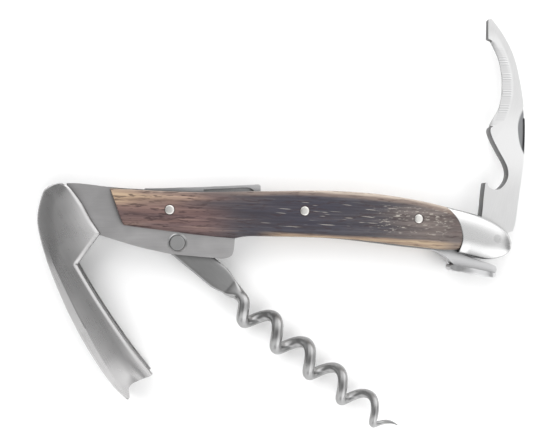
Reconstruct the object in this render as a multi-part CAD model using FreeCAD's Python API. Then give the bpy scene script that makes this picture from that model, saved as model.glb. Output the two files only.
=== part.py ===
import FreeCAD, Part
import os
import math
from FreeCAD import Vector

os.makedirs("parts", exist_ok=True)

# ---------------------------------------------------------------------------
# Waiters corkscrew: one-lever sommelier's knife, lying on its flat side.
# X runs along the handle from the lever hinge to the blade hinge, Y is the
# back of the handle, Z is the thickness.  Origin half way between the two
# hinges, on the plane that the tool rests on.  Millimetres.
# ---------------------------------------------------------------------------

# overall stack through the thickness, measured from the middle plane
TOTAL_T = 12.0            # over both wooden scales
MID = TOTAL_T / 2.0       # height of the middle plane
BLADE_H = 1.50            # half thickness of blade and worm tang
SLOT_H = 1.55             # half width of the slot between the liners
LINER_OUT = 2.75          # outer face of a liner
HEAD_OUT = 4.40           # outer face of a head cheek
SCALE_OUT = 6.00          # outer face of a scale or tail cheek
LEVER_IN = 4.50           # inner face of a lever wall
LEVER_OUT = 6.00          # outer face of a lever wall

# hinges
HINGE_X = 53.0            # half distance between lever hinge and blade hinge
LEVER_PIN_R = 1.50
WORM_PIN_X, WORM_PIN_Y = -27.86, -5.30
WORM_PIN_R = 1.90
BLADE_PIN_R = 1.50
FIT = 0.05                # radial running clearance in the moving hinges

# scale rivets
RIVETS = [(-30.25, 2.56), (2.70, 4.16), (31.85, 3.85)]
RIVET_R = 1.12
RIVET_SLOT_R = 0.95       # slimmer where it crosses the slot

# worm
WORM_ANGLE = -36.02       # direction of the worm axis, degrees
WORM_OFFSET = -1.94       # axis of the helix, sideways from the pin
HELIX_START = 17.77       # distance from pin to the zero of the helix
PITCH = 10.70
HELIX_R = 2.85            # radius of the wire's centre line
WIRE_R = 1.45
HELIX_PHASE = 285.6
HELIX_TURNS = 5.19

# lever
LEVER_WALL = 1.50
LEVER_BEVEL_Z = 1.20      # depth of the bevel along the web, in Z


# --- helpers ---------------------------------------------------------------

def edge(points, z):
    vs = [Vector(p[0], p[1], z) for p in points]
    if len(vs) == 2:
        return Part.LineSegment(vs[0], vs[1]).toShape()
    c = Part.BSplineCurve()
    c.interpolate(vs)
    return c.toShape()


def outline_edges(segments, z):
    edges = []
    last = segments[-1][-1]
    for seg in segments:
        pts = [last] + list(seg)
        edges.append(edge(pts, z))
        last = seg[-1]
    return edges


def outline(segments, z):
    """Closed wire from segments; each starts where the last one ended."""
    return Part.Wire(outline_edges(segments, z))


def slab(segments, z0, z1):
    return Part.Face(outline(segments, z0)).extrude(Vector(0, 0, z1 - z0))


def loft(seg_a, za, seg_b, zb):
    """Straight-ruled solid between two outlines with the same segments."""
    ea, eb = outline_edges(seg_a, za), outline_edges(seg_b, zb)
    faces = [Part.makeRuledSurface(a, b) for a, b in zip(ea, eb)]
    faces += [Part.Face(Part.Wire(ea)), Part.Face(Part.Wire(eb))]
    shell = Part.Shell([f for g in faces for f in g.Faces])
    shell.sewShape()
    solid = Part.Solid(shell)
    if solid.Volume < 0:
        solid.reverse()
    return solid


def cyl(x, y, r, z0, z1):
    return Part.makeCylinder(r, z1 - z0, Vector(x, y, z0))


def other_side(shape):
    return shape.mirror(Vector(0, 0, MID), Vector(0, 0, 1))


def fillet_top(shape, r, z, skip=None):
    """Round the edges that lie in the plane z, except those skip() names."""
    picked = []
    for e in shape.Edges:
        b = e.BoundBox
        if abs(b.ZMin - z) < 1e-4 and abs(b.ZMax - z) < 1e-4:
            if skip is None or not skip(e):
                picked.append(e)
    return shape.makeFillet(r, picked)


def unit(a, b):
    dx, dy = b[0] - a[0], b[1] - a[1]
    n = math.hypot(dx, dy)
    return dx / n, dy / n


def inset(points, dist):
    """Points moved to the left of the running direction."""
    out = []
    n = len(points)
    for i, p in enumerate(points):
        a = points[max(i - 1, 0)]
        b = points[min(i + 1, n - 1)]
        ux, uy = unit(a, b)
        d = dist[i] if isinstance(dist, (list, tuple)) else dist
        out.append((p[0] - uy * d, p[1] + ux * d))
    return out


def single(shape):
    s = shape.removeSplitter()
    if len(s.Solids) == 1:
        return s.Solids[0]
    return s


made = {}


def save(name, shape):
    if not shape.isValid():
        print("INVALID", name)
    print("%-20s solids %d  volume %.2f" % (name, len(shape.Solids), shape.Volume))
    made[name] = shape
    shape.exportStep("parts/%s.step" % name)


# --- outlines --------------------------------------------------------------

# wooden scale
WOOD_LEFT = [(-40.91, -1.69), (-42.00, 0.62), (-42.94, 2.94), (-43.85, 5.20), (-44.56, 6.88)]
WOOD_TOP = [(-32.74, 6.96), (-23.15, 7.25), (-15.89, 7.82), (-8.30, 8.38), (0.13, 9.01),
            (8.31, 9.52), (16.56, 9.64), (21.72, 9.50), (27.71, 9.02), (33.77, 8.32), (39.60, 7.30)]
WOOD_RIGHT = [(41.85, 4.62), (43.22, 1.80), (43.71, -0.78), (43.50, -3.30)]
WOOD_LOW_R = [(40.13, -3.52), (34.07, -3.25), (27.28, -2.86), (19.77, -2.38), (11.48, -2.16),
              (3.31, -2.26), (-2.66, -2.46), (-8.34, -2.66), (-11.60, -2.90), (-14.00, -3.50)]
WOOD_LOW_L = [(-20.33, -3.24), (-26.43, -2.88), (-30.26, -2.54), (-35.94, -2.13), (-40.91, -1.69)]
WOOD = [WOOD_LEFT[1:], WOOD_TOP, WOOD_RIGHT, WOOD_LOW_R, WOOD_LOW_L]

# head: cheek and liner share the ear; round nose about the lever hinge
NOSE_R = 5.2              # liners
CHEEK_NOSE_R = 3.8        # head cheeks, inside the bevelled corner of the channel


def nose_points(r):
    return [(-HINGE_X + r * math.cos(math.radians(a)), r * math.sin(math.radians(a)))
            for a in (268, 240, 210, 180, 150, 125, 107)]


EAR_RIGHT = [(-14.02, -4.80), (-14.12, -6.12), (-14.50, -7.60), (-15.60, -8.30), (-18.09, -8.50)]
EAR_LOW = [(-21.26, -8.40), (-25.70, -8.22), (-29.97, -7.94), (-32.25, -7.56), (-35.52, -7.02),
           (-39.12, -6.24), (-42.70, -5.34), (-46.04, -4.45)]
HEAD = [[(-13.98, -3.00)], EAR_RIGHT, EAR_LOW, [nose_points(CHEEK_NOSE_R)[0]],
        nose_points(CHEEK_NOSE_R)[1:],
        [(-54.70, 7.42)], [(-52.77, 7.58), (-49.04, 7.46), (-44.00, 7.20)],
        [(-41.80, 3.00)], [(-38.00, 0.20)], [(-14.50, -1.50)]]

# tail cheek
TAIL_EDGE = [(43.57, 6.62), (47.80, 5.72), (51.20, 4.58), (54.45, 3.02), (56.73, 1.09),
             (57.62, -0.91), (56.95, -3.05), (54.57, -4.75), (51.22, -5.42), (47.69, -4.99),
             (43.50, -4.10)]
TAIL = [TAIL_EDGE, [(43.50, -3.30)], [(43.71, -0.78), (43.22, 1.80), (41.85, 4.62), (39.60, 7.30)]]

# liner, head to tail
LINER = [[(-52.77, 7.42), (-49.04, 7.36), (-44.57, 7.20), (-32.74, 7.22), (-23.15, 7.46),
          (-15.89, 7.92), (-8.30, 8.42), (0.13, 9.00), (8.31, 9.46), (16.56, 9.58),
          (21.72, 9.44), (27.71, 8.96), (33.77, 8.22), (39.60, 7.22), (43.57, 6.40),
          (47.80, 5.45), (51.10, 4.32), (54.20, 2.80), (56.42, 0.95), (57.30, -0.91),
          (56.66, -2.90), (54.40, -4.45), (51.22, -5.12), (47.69, -4.72), (43.50, -4.05)],
         [(40.13, -3.86), (34.07, -3.60), (27.28, -3.20), (19.77, -2.66), (11.48, -2.24),
          (3.31, -2.28), (-2.66, -2.46), (-8.34, -2.64), (-11.60, -2.86), (-13.98, -3.40)],
         [(-14.02, -4.80), (-14.14, -6.12), (-14.56, -7.50), (-15.70, -8.14), (-18.09, -8.34)],
         [(-21.26, -8.24), (-25.70, -8.06), (-29.97, -7.78), (-32.25, -7.40), (-35.52, -6.86),
          (-39.12, -6.08), (-42.70, -5.18), (-46.04, -4.30)],
         [nose_points(NOSE_R - 0.15)[0]], nose_points(NOSE_R - 0.15)[1:], [(-54.50, 7.28)]]

# --- liners ----------------------------------------------------------------
zf0, zf1 = MID + SLOT_H, MID + LINER_OUT
liner = slab(LINER, zf0, zf1)
for x, y, r in ((-HINGE_X, 0, LEVER_PIN_R), (WORM_PIN_X, WORM_PIN_Y, WORM_PIN_R),
                (HINGE_X, 0, BLADE_PIN_R)):
    liner = liner.cut(cyl(x, y, r, zf0 - 1, zf1 + 1))
for x, y in RIVETS:
    liner = liner.cut(cyl(x, y, RIVET_R, zf0 - 1, zf1 + 1))

# small hidden pins that hold the head cheeks and the tail cheeks to the liners
HEAD_PINS = [(-47.5, 3.2), (-20.5, -6.0)]
TAIL_PINS = [(46.3, 0.9)]
for x, y in HEAD_PINS + TAIL_PINS:
    liner = liner.cut(cyl(x, y, 0.8, zf0 + 0.3, zf1 + 1))
liner = single(liner)
save("front_liner", liner)
save("rear_liner", other_side(liner))

# --- wooden scales ---------------------------------------------------------
zs1 = MID + SCALE_OUT
scale_block = slab(WOOD, zf1, zs1)
scale = scale_block.copy()


def end_edge(e):
    b = e.BoundBox
    return b.XMax < -40.5 or (b.XMin > 39.4)


scale = fillet_top(scale, 1.3, zs1, end_edge)
for x, y in RIVETS:
    scale = scale.cut(cyl(x, y, RIVET_R, zf1 - 1, zs1 + 1))
scale = single(scale)
save("front_scale", scale)
save("rear_scale", other_side(scale))

# --- head cheeks -----------------------------------------------------------
zh1 = MID + HEAD_OUT
cheek = slab(HEAD, zf1, zh1).cut(scale_block)
cheek = cheek.cut(cyl(-HINGE_X, 0, LEVER_PIN_R, zf1 - 1, zh1 + 1))
# seat for the ring round the worm pin
RING_R, RING_DEEP = 2.45, 1.0
cheek = cheek.cut(cyl(WORM_PIN_X, WORM_PIN_Y, WORM_PIN_R, zf1 - 1, zh1 + 1))
cheek = cheek.cut(cyl(WORM_PIN_X, WORM_PIN_Y, RING_R, zh1 - RING_DEEP, zh1 + 1))
for x, y in HEAD_PINS:
    cheek = cheek.cut(cyl(x, y, 0.8, zf1 - 1, zh1 - 0.4))
cheek = single(cheek)
save("front_head_plate", cheek)
save("rear_head_plate", other_side(cheek))

# ring round the worm pin: flush rim with a cone down to the pin
ring = cyl(WORM_PIN_X, WORM_PIN_Y, RING_R, zh1 - RING_DEEP, zh1).cut(scale_block)
ring = ring.cut(cyl(WORM_PIN_X, WORM_PIN_Y, WORM_PIN_R, zh1 - RING_DEEP - 1, zh1 + 1))
ring = ring.cut(Part.makeCone(WORM_PIN_R, RING_R - 0.12, 0.42,
                              Vector(WORM_PIN_X, WORM_PIN_Y, zh1 - 0.42)))
save("worm_pin_rings", Part.makeCompound([ring, other_side(ring)]))

# hidden pins
hp = [cyl(x, y, 0.8, zf0 + 0.3, zh1 - 0.4) for x, y in HEAD_PINS]
save("head_plate_pins", Part.makeCompound(hp + [other_side(p) for p in hp]))
tp = [cyl(x, y, 0.8, zf0 + 0.3, zs1 - 1.6) for x, y in TAIL_PINS]
save("tail_bolster_pins", Part.makeCompound(tp + [other_side(p) for p in tp]))

# --- tail cheeks -----------------------------------------------------------
tail = slab(TAIL, zf1, zs1)


def wood_joint(e):
    b = e.BoundBox
    return b.XMax < 43.9


tail = fillet_top(tail, 1.9, zs1, wood_joint)
tail = tail.cut(cyl(HINGE_X, 0, BLADE_PIN_R, zf1 - 1, zs1 + 1))
for x, y in TAIL_PINS:
    tail = tail.cut(cyl(x, y, 0.8, zf1 - 1, zs1 - 1.6))
tail = single(tail)
save("front_tail_bolster", tail)
save("rear_tail_bolster", other_side(tail))

# --- packing block between the liners in the head ---------------------------
SPACER = [[(-36.2, 7.00)], [(-36.2, -5.6)], [(-39.12, -5.75), (-42.70, -4.86), (-45.6, -4.10)],
          [(-52.9, -4.85)], [(-56.5, -3.2), (-57.75, 0.0), (-56.8, 3.0), (-54.6, 4.7)], [(-54.3, 7.0)]]
spacer = slab(SPACER, MID - SLOT_H, MID + SLOT_H)
spacer = spacer.cut(cyl(-HINGE_X, 0, LEVER_PIN_R, 0, TOTAL_T))
save("head_spacer", single(spacer))

# --- worm spring: block on the left rivet, strip along the back, bent foot ----
WSPRING = [[(-33.08, 7.68), (-27.77, 8.18), (-22.90, 8.60), (-18.49, 9.05), (-12.92, 9.64), (-8.97, 10.10)],
           [(-8.30, 10.10), (-7.90, 9.75)], [(-7.85, 8.30)], [(-9.70, 8.05)],
           [(-12.90, 7.80), (-17.00, 7.50), (-21.00, 7.20), (-23.40, 7.00)],
           [(-24.40, 4.60), (-25.00, 1.50), (-25.60, -1.30)], [(-36.2, -1.30)], [(-36.2, 7.50)]]
wspring = slab(WSPRING, MID - SLOT_H, MID + SLOT_H)
wspring = wspring.cut(cyl(RIVETS[0][0], RIVETS[0][1], RIVET_R, 0, TOTAL_T))
# shallow arch pressed into both faces beside the foot
ARCH = [[(-9.75, 8.70), (-10.30, 9.02), (-11.00, 9.18), (-12.00, 9.16), (-14.50, 8.86), (-18.20, 8.46), (-22.00, 8.06)],
        [(-22.00, 7.00)], [(-9.75, 7.00)]]
for z0, z1 in ((MID + 0.55, MID + 3.0), (MID - 3.0, MID - 0.55)):
    wspring = wspring.cut(slab(ARCH, z0, z1))
save("worm_spring", single(wspring))

# --- blade spring: block on the middle rivet, bar along the belly -------------
BSPRING = [[(-12.60, 1.50)], [(-2.00, 1.50)], [(-0.80, 5.40)], [(0.40, 6.20), (3.00, 6.30), (5.20, 6.10)],
           [(6.40, 4.60), (8.40, 2.00), (11.0, 1.50)], [(30.0, 1.50)],
           [(34.0, 0.90), (38.00, -0.45), (42.00, -2.40), (45.30, -4.35), (48.04, -5.30), (50.53, -6.00),
            (53.07, -6.55), (54.60, -7.10)],
           [(54.95, -7.90), (54.60, -8.94)],
           [(43.20, -7.30)], [(42.00, -6.10), (40.50, -4.98), (38.80, -4.20), (36.80, -3.74)],
           [(34.07, -3.60), (27.28, -3.20), (19.77, -2.66), (11.48, -2.24), (3.31, -2.28), (-2.66, -2.46),
            (-8.34, -2.64), (-12.60, -2.80)]]
bspring = slab(BSPRING, MID - SLOT_H, MID + SLOT_H)
bspring = bspring.cut(cyl(RIVETS[1][0], RIVETS[1][1], RIVET_R, 0, TOTAL_T))
save("blade_spring", single(bspring))

# plain leaf-shaped end plate of the blade spring
PLATE = [[(54.60, -8.94)], [(54.78, -9.30), (54.50, -9.70), (53.60, -10.02)],
         [(51.30, -9.72), (47.75, -9.32), (43.90, -8.86)], [(42.50, -8.50), (42.10, -8.00), (42.30, -7.55), (43.20, -7.30)]]
plate = slab(PLATE, MID - 4.0, MID + 4.0)
leaf_pts = []
for i in range(24):
    a = 2 * math.pi * i / 24.0
    ca, sa = math.cos(a), math.sin(a)
    px = 48.45 + 6.6 * math.copysign(abs(ca) ** 0.9, ca)
    pz = MID + 4.0 * math.copysign(abs(sa) ** 0.9, sa)
    leaf_pts.append(Vector(px, -12.0, pz))
leaf = Part.BSplineCurve()
leaf.interpolate(leaf_pts, True)
leaf_solid = Part.Face(Part.Wire(leaf.toShape())).extrude(Vector(0, 8, 0))
plate = plate.common(leaf_solid)
save("spring_end_plate", single(plate))

# --- rivets and hinge pins ---------------------------------------------------
riv = []
for i, (x, y) in enumerate(RIVETS):
    r_mid = RIVET_R if i < 2 else RIVET_SLOT_R
    if i < 2:
        r = cyl(x, y, RIVET_R, 0.0, TOTAL_T)
    else:
        r = cyl(x, y, RIVET_R, 0.0, MID - SLOT_H).fuse(cyl(x, y, r_mid, MID - SLOT_H, MID + SLOT_H))
        r = r.fuse(cyl(x, y, RIVET_R, MID + SLOT_H, TOTAL_T)).removeSplitter()
    rim = [e for e in r.Edges if len(e.Vertexes) == 1 and
           (abs(e.BoundBox.ZMax - TOTAL_T) < 1e-4 and abs(e.BoundBox.ZMin - TOTAL_T) < 1e-4
            or abs(e.BoundBox.ZMax) < 1e-4)]
    r = r.makeFillet(0.18, rim)
    riv.append(r if r.ShapeType == "Solid" else r.Solids[0])
save("handle_rivets", Part.makeCompound(riv))

save("lever_hinge_pin", cyl(-HINGE_X, 0, LEVER_PIN_R, 0.60, TOTAL_T - 0.60))
wpin = cyl(WORM_PIN_X, WORM_PIN_Y, WORM_PIN_R, MID - HEAD_OUT + 0.30, MID + HEAD_OUT - 0.30)
wpin = wpin.makeFillet(0.25, [e for e in wpin.Edges if abs(e.BoundBox.ZMax - e.BoundBox.ZMin) < 1e-4])
save("worm_hinge_pin", wpin)
save("blade_hinge_pin", cyl(HINGE_X, 0, BLADE_PIN_R, 0.04, TOTAL_T - 0.04))

# --- lever -------------------------------------------------------------------
DOME_TOP = (-55.69, 7.36)
KINK = (-60.15, 4.40)
DOME_LEFT = [(-57.10, 7.13), (-58.64, 6.50), (-59.72, 5.50), KINK]
WEB = [(-60.83, 1.12), (-60.97, -0.75), (-60.78, -2.79), (-60.10, -5.59), (-59.13, -8.60),
       (-57.85, -12.02), (-56.14, -15.90), (-52.86, -22.60), (-49.72, -28.16), (-46.75, -32.80),
       (-43.79, -36.90), (-40.60, -40.72), (-38.05, -43.00)]
PRONG = [(-37.50, -43.10), (-37.22, -42.60), (-37.45, -41.30), (-37.35, -40.10)]
END = [(-36.70, -39.35), (-35.36, -38.62), (-33.55, -37.75), (-32.55, -37.40), (-32.05, -36.95)]
LONG_EDGE = [(-36.06, -32.30), (-38.84, -28.84), (-41.87, -24.86), (-45.30, -20.15),
             (-48.18, -15.90), (-51.00, -11.50)]
SHOULDER = [(-46.20, -4.00)]
DOME_RIGHT = [(-46.87, -3.10), (-48.30, -1.15), (-49.47, 0.75), (-50.93, 3.05), (-52.92, 5.42),
              (-54.60, 6.95), DOME_TOP]

web_a = [KINK] + WEB
# the bevel runs out towards the tip and stays full along the channel
bev = [1.3, 1.4, 1.4, 1.4, 1.4, 1.4, 1.45, 1.6, 1.85, 1.95, 1.85, 1.65, 1.3, 0.45]
web_b = inset(web_a, bev)
dome_b = [(-57.05, 6.55), (-58.15, 6.00), (-58.85, 5.15), web_b[0]]
lever_a = [DOME_LEFT, WEB, PRONG, END, LONG_EDGE, SHOULDER, DOME_RIGHT]
lever_b = [dome_b, web_b[1:], PRONG, END, LONG_EDGE, SHOULDER, DOME_RIGHT]
zb0, zb1 = LEVER_BEVEL_Z, TOTAL_T - LEVER_BEVEL_Z
lever = slab(lever_a, zb0, zb1)
lever = lever.fuse(loft(lever_a, zb1, lever_b, TOTAL_T))
lever = lever.fuse(loft(lever_b, 0.0, lever_a, zb0))

# channel: everything between the walls, open on the handle side and at the nose
WEB_TOP_Y = 0.0
in_a = [p for p in inset(web_a, LEVER_WALL)]


def channel(inner):
    start = None
    pts = []
    for i in range(len(inner) - 1):
        a, b = inner[i], inner[i + 1]
        if a[1] >= WEB_TOP_Y > b[1]:
            k = (a[1] - WEB_TOP_Y) / (a[1] - b[1])
            start = (a[0] + (b[0] - a[0]) * k, WEB_TOP_Y)
            pts = [p for p in inner[i + 1:] if p[1] < WEB_TOP_Y - 0.5]
            break
    ux, uy = unit(inner[-2], inner[-1])
    last = (inner[-1][0] + ux * 6.0, inner[-1][1] + uy * 6.0)
    return start, pts + [last]


sa, ia = channel(in_a)
far = [[(-20.0, -50.0)], [(-20.0, 14.0)], [(-70.0, 14.0)], [(-70.0, WEB_TOP_Y)]]
cav_a = [[sa], ia] + far
zc0, zc1 = MID - LEVER_IN, MID + LEVER_IN
cav = slab(cav_a, zc0, zc1)
# the nose opening stays full height above the top of the web
cav = cav.fuse(slab([[(-70.0, WEB_TOP_Y)], [(-20.0, WEB_TOP_Y)], [(-20.0, 14.0)], [(-70.0, 14.0)]], zc0, zc1))
lever = lever.cut(cav)
# blind seats for the hinge pin in both walls
lever = lever.cut(cyl(-HINGE_X, 0, LEVER_PIN_R + FIT, 0.55, TOTAL_T - 0.55))
lever = single(lever)
save("lever", lever)

# --- worm --------------------------------------------------------------------
wa = math.radians(WORM_ANGLE)
WD = (math.cos(wa), math.sin(wa))
WN = (-math.sin(wa), math.cos(wa))


def wl(d, n):
    return (WORM_PIN_X + WD[0] * d + WN[0] * n, WORM_PIN_Y + WD[1] * d + WN[1] * n)


heel = [wl(3.0 * math.cos(math.radians(a)), 3.0 * math.sin(math.radians(a))) for a in (115, 140, 165, 190, 215, 240, 262)]
TANG = [[wl(2.0, -2.98), wl(8.0, -3.05), wl(13.6, -3.15)],
        [wl(15.2, -2.85), wl(17.2, -2.35), wl(19.2, -1.95), wl(20.6, -1.75)],
        [wl(20.6, 0.6)],
        [wl(19.2, 1.25), wl(17.4, 1.85), wl(15.6, 2.55), wl(14.0, 2.95)],
        [wl(10.0, 2.98), wl(4.0, 2.98), heel[0]], heel[1:]]
tang = slab(TANG, MID - BLADE_H, MID + BLADE_H)
tang = tang.cut(cyl(WORM_PIN_X, WORM_PIN_Y, WORM_PIN_R + FIT, 0, TOTAL_T))


def table(t, pairs):
    if t <= pairs[0][0]:
        return pairs[0][1]
    for (a, va), (b, vb) in zip(pairs, pairs[1:]):
        if t <= b:
            k = (t - a) / (b - a)
            k = k * k * (3 - 2 * k)
            return va + (vb - va) * k
    return pairs[-1][1]


def helix_r(t):
    return table(t, [(-0.30, 0.35), (0.32, HELIX_R), (4.45, HELIX_R), (5.19, 1.25)])


def wire_r(t):
    return table(t, [(-0.30, 1.05), (0.10, WIRE_R), (2.2, WIRE_R), (3.8, 1.22), (4.55, 0.98), (4.95, 0.55), (5.19, 0.14)])


def helix_p(t):
    a = math.radians(HELIX_PHASE + 360.0 * t)
    r = helix_r(t)
    x, y = wl(HELIX_START + PITCH * t, WORM_OFFSET + r * math.cos(a))
    return Vector(x, y, MID + r * math.sin(a))


T0 = -0.30
STEPS_PER_TURN = 16
count = int(round((HELIX_TURNS - T0) * STEPS_PER_TURN))
rings = []
length = 0.0
radial = None
for i in range(count + 1):
    t = T0 + (HELIX_TURNS - T0) * i / count
    p = helix_p(t)
    tan = helix_p(t + 0.004) - helix_p(t - 0.004)
    tan.normalize()
    # each section keeps the frame of the one before, so the skin has no twist
    if radial is None:
        cx, cy = wl(HELIX_START + PITCH * t, WORM_OFFSET)
        radial = p - Vector(cx, cy, MID)
        last_p = p
    radial = radial - tan * radial.dot(tan)
    radial.normalize()
    side = tan.cross(radial)
    c = Part.Circle(Vector(0, 0, 0), Vector(0, 0, 1), wire_r(t)).toShape()
    c.Placement = FreeCAD.Placement(p, FreeCAD.Rotation(radial, side, tan, "ZXY"))
    rings.append(Part.Wire(c))
    length += (p - last_p).Length
    last_p = p
# skin the wire half a turn at a time, then close it into one solid
skins = []
i = 0
while i < len(rings) - 1:
    j = min(i + STEPS_PER_TURN // 2, len(rings) - 1)
    if len(rings) - 1 - j < 3:
        j = len(rings) - 1
    skins += Part.makeLoft(rings[i:j + 1], False, False).Faces
    i = j
skins += [Part.Face(rings[0]), Part.Face(rings[-1])]
shell = Part.Shell(skins)
shell.sewShape()
wire_solid = Part.Solid(shell)
if wire_solid.Volume < 0:
    wire_solid.reverse()
print("worm wire valid", wire_solid.isValid(), "volume", wire_solid.Volume, "length", length)
worm = wire_solid.fuse(tang)
worm = single(worm)
save("worm", worm)

# --- foil cutter blade ---------------------------------------------------------
TIP = (50.30, 56.85)
BACK = [(51.52, 55.56), (52.69, 54.24), (53.88, 52.66), (55.07, 50.90), (56.36, 48.63), (57.41, 46.07),
        (58.30, 43.10), (59.02, 40.21), (59.63, 37.34), (60.12, 34.56), (60.47, 31.62), (60.76, 27.31),
        (60.84, 22.96), (60.63, 18.70), (60.30, 14.25), (59.88, 9.81), (59.51, 5.57), (59.21, 3.53),
        (58.80, 2.15)]
HEEL_R = 4.6
heel_b = [(HINGE_X + HEEL_R * math.cos(math.radians(a)), HEEL_R * math.sin(math.radians(a)))
          for a in (15, -20, -60, -100, -140, -175, -210)]
TANG_LEFT = [(50.15, 5.70), (50.32, 8.60), (50.46, 11.60), (50.62, 13.90)]
SPIKE = [(50.80, 14.25), (51.20, 14.25)]
NOTCH = [(51.60, 13.30), (53.00, 12.65), (54.60, 12.85), (55.70, 13.85), (56.50, 15.20), (56.81, 16.78),
         (56.48, 18.50), (55.62, 20.20), (54.50, 21.85), (53.38, 23.55), (52.24, 25.40), (51.42, 27.20)]
HOOK = [(51.30, 28.05), (51.45, 28.60)]
CUT = [(51.85, 30.19), (52.80, 31.83), (53.72, 33.72), (54.25, 35.86), (54.40, 38.22), (54.34, 40.30),
       (54.05, 42.63), (53.56, 44.94), (52.75, 47.10), (51.77, 48.97), (50.85, 50.45), (50.20, 51.35)]
BEVEL = [(53.24, 29.60), (55.07, 31.20), (56.20, 33.25), (56.76, 35.45), (56.85, 38.30), (56.66, 40.80),
         (56.18, 43.00), (55.30, 45.70), (54.20, 47.70), (53.00, 49.40), (52.20, 50.50), (50.20, 51.35)]
BEAK = [(49.62, 51.60)]
BEAK2 = [(49.50, 54.00), (49.42, 56.20)]
BEAK3 = [(49.70, 56.70), TIP]
blade_a = [BACK, [(57.50, 1.70)], heel_b, TANG_LEFT, SPIKE, NOTCH, HOOK, CUT, BEAK, BEAK2, BEAK3]
blade_b = [BACK, [(57.50, 1.70)], heel_b, TANG_LEFT, SPIKE, NOTCH, HOOK, BEVEL, BEAK, BEAK2, BEAK3]
EDGE_H = 0.10            # half thickness left at the cutting edge
blade = slab(blade_a, MID - EDGE_H, MID + EDGE_H)
blade = blade.fuse(loft(blade_a, MID + EDGE_H, blade_b, MID + BLADE_H))
blade = blade.fuse(loft(blade_b, MID - BLADE_H, blade_a, MID - EDGE_H))
# thins towards the beak
for s in (1, -1):
    tri = [Vector(40, 30.0, MID + s * 1.50), Vector(40, 62.0, MID + s * 0.60),
           Vector(40, 62.0, MID + s * 4.0), Vector(40, 30.0, MID + s * 4.0), Vector(40, 30.0, MID + s * 1.50)]
    wedge = Part.Face(Part.makePolygon(tri)).extrude(Vector(30, 0, 0))
    blade = blade.cut(wedge)
# nail nick near the back
nick = [Vector(59.95, 36.2, MID + BLADE_H + 0.2), Vector(60.90, 23.0, MID + BLADE_H + 0.2)]
nick_shape = slab([[(60.20, 35.0), (59.40, 33.2), (58.70, 30.6), (58.95, 27.4), (59.85, 24.4), (60.62, 22.8)],
                   [(60.70, 26.0), (60.55, 30.4), (60.25, 34.0), (59.95, 36.2)]],
                  MID + BLADE_H - 0.55, MID + BLADE_H + 0.5)
blade = blade.cut(nick_shape)
blade = blade.cut(cyl(HINGE_X, 0, BLADE_PIN_R + FIT, 0, TOTAL_T))
blade = single(blade)
save("foil_cutter", blade)

print("nodes", len(made))
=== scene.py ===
import bpy
import math
import numpy as np
from mathutils import Matrix, Vector


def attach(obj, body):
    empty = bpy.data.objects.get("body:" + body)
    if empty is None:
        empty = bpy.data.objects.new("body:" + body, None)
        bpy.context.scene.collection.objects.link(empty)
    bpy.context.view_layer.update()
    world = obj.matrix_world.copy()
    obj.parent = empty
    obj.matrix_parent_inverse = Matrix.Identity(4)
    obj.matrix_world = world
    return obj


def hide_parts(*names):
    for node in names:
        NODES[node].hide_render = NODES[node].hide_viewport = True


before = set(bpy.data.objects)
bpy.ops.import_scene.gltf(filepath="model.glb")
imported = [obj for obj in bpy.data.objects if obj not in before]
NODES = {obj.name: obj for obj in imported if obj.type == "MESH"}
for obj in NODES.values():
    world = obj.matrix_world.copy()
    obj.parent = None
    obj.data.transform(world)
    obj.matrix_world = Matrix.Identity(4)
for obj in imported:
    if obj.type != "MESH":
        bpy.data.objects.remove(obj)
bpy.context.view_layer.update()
MM = 0.001
MID = 6.0

# ---------------------------------------------------------------------------
# Waiters corkscrew.  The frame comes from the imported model; the lengths below
# are millimetres in that frame and become metres when a mesh is made.
# ---------------------------------------------------------------------------

# --- numeric helpers -------------------------------------------------------


def spline(points, n):
    """n points on a natural cubic through the points, by chord length."""
    p = np.array(points, float)
    t = np.concatenate([[0], np.cumsum(np.linalg.norm(np.diff(p, axis=0), axis=1))])
    m = len(p)
    q = np.linspace(0, t[-1], n)
    if m == 2:
        return p[0] + (p[1] - p[0]) * (q / t[-1])[:, None]
    h = np.diff(t)
    a = np.zeros((m, m))
    b = np.zeros((m, p.shape[1]))
    a[0, 0] = a[-1, -1] = 1
    for i in range(1, m - 1):
        a[i, i - 1], a[i, i], a[i, i + 1] = h[i - 1], 2 * (h[i - 1] + h[i]), h[i]
        b[i] = 6 * ((p[i + 1] - p[i]) / h[i] - (p[i] - p[i - 1]) / h[i - 1])
    k = np.linalg.solve(a, b)
    i = np.clip(np.searchsorted(t, q, side="right") - 1, 0, m - 2)
    s = (q - t[i])[:, None]
    r = (t[i + 1] - q)[:, None]
    hh = h[i][:, None]
    return (k[i] * r ** 3 + k[i + 1] * s ** 3) / (6 * hh) + \
        (p[i] / hh - k[i] * hh / 6) * r + (p[i + 1] / hh - k[i + 1] * hh / 6) * s


def at(poly, u):
    """Points of a polyline at the fractions u of its length."""
    p = np.asarray(poly, float)
    t = np.concatenate([[0], np.cumsum(np.linalg.norm(np.diff(p, axis=0), axis=1))])
    u = np.asarray(u, float) * t[-1]
    return np.stack([np.interp(u, t, p[:, k]) for k in range(p.shape[1])], axis=-1)


def join(*parts):
    out = [np.asarray(parts[0], float)]
    for p in parts[1:]:
        out.append(np.asarray(p, float)[1:])
    return np.concatenate(out)


def distance(pts, poly):
    """Least distance of every point to a polyline, in the plane."""
    pts = np.asarray(pts, float)[..., :2]
    shape = pts.shape[:-1]
    q = pts.reshape(-1, 1, 2)
    a = np.asarray(poly, float)[None, :-1, :2]
    b = np.asarray(poly, float)[None, 1:, :2]
    ab = b - a
    k = np.clip(((q - a) * ab).sum(-1) / np.maximum((ab ** 2).sum(-1), 1e-12), 0, 1)
    d = np.linalg.norm(q - (a + ab * k[..., None]), axis=-1)
    return d.min(1).reshape(shape)


def step(a, b, x):
    t = np.clip((np.asarray(x, float) - a) / (b - a), 0, 1)
    return t * t * (3 - 2 * t)


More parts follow.
